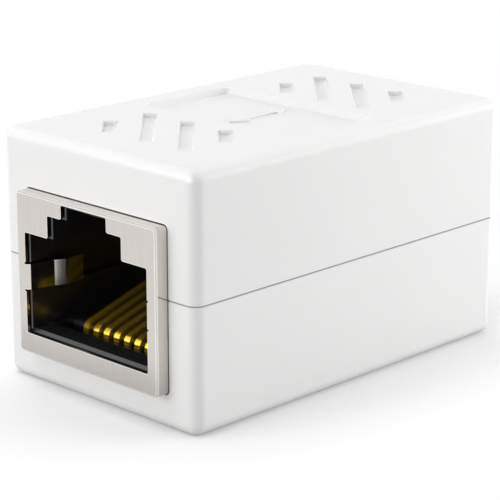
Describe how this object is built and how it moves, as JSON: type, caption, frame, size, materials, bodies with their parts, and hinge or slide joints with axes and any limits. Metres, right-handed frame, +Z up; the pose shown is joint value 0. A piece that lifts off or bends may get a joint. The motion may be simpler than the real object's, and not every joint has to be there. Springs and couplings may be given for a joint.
{
  "type": "rj45 inline coupler",
  "caption": "Shielded inline coupler with a modular socket at each end that joins two network patch leads in a white moulded shell.",
  "frame": {"origin": "centre of the bounding box at its bottom, where the base rests", "axes": "+Y along the body from the front port to the rear port, +X to the right seen from the front port, +Z up on the latch side"},
  "size_m": [0.0186, 0.0322, 0.0175],
  "materials": {
    "white_plastic": "fine satin moulding",
    "nickel_plate": "nickel-plated stamped sheet, satin",
    "black_plastic": "matt moulding",
    "gold_plate": "polished gold plating",
    "board_laminate": "green solder mask over glass laminate"
  },
  "bodies": {
    "root": {"upper_shell": "white_plastic", "lower_shell": "white_plastic", "circuit_board": "board_laminate", "front_shield": "nickel_plate", "front_jack_housing": "black_plastic", "front_contact_carrier": "black_plastic", "front_contact_1": "gold_plate", "front_contact_2": "gold_plate", "front_contact_3": "gold_plate", "front_contact_4": "gold_plate", "front_contact_5": "gold_plate", "front_contact_6": "gold_plate", "front_contact_7": "gold_plate", "front_contact_8": "gold_plate", "rear_shield": "nickel_plate", "rear_jack_housing": "black_plastic", "rear_contact_carrier": "black_plastic", "rear_contact_1": "gold_plate", "rear_contact_2": "gold_plate", "rear_contact_3": "gold_plate", "rear_contact_4": "gold_plate", "rear_contact_5": "gold_plate", "rear_contact_6": "gold_plate", "rear_contact_7": "gold_plate", "rear_contact_8": "gold_plate"}
  },
  "joints": []
}
